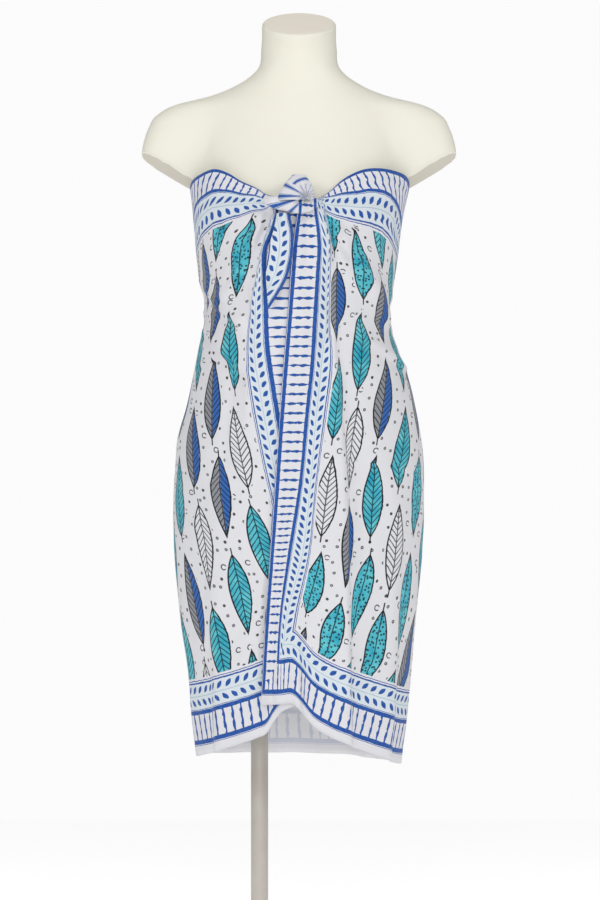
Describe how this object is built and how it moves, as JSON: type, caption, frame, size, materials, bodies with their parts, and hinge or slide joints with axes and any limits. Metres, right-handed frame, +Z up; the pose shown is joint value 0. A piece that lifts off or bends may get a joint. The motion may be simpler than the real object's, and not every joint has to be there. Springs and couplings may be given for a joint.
{
  "type": "wrap skirt on dress form",
  "caption": "Printed cotton wrap skirt knotted at the front of a limbless dress form on a pole stand.",
  "frame": {"origin": "middle of the base plate's underside, on the surface it stands on", "axes": "+Z up, -Y is the front of the body, +X is the viewer's right"},
  "size_m": [0.4466, 0.38, 1.5054],
  "materials": {
    "printed_cotton": "thin matt plain-weave cotton with a blue and turquoise print",
    "cream_shell": "smooth cream moulded shell with a satin surface",
    "warm_grey_metal": "satin warm grey"
  },
  "bodies": {
    "root": {"form_torso": "cream_shell", "wrap_back": "printed_cotton", "wrap_under_front": "printed_cotton", "wrap_over_front": "printed_cotton", "knot_wrap": "printed_cotton", "knot_tip": "printed_cotton", "knot_tail": "printed_cotton", "base_plate": "warm_grey_metal", "base_collar": "warm_grey_metal", "pole": "warm_grey_metal", "pole_flange": "warm_grey_metal"}
  },
  "joints": []
}
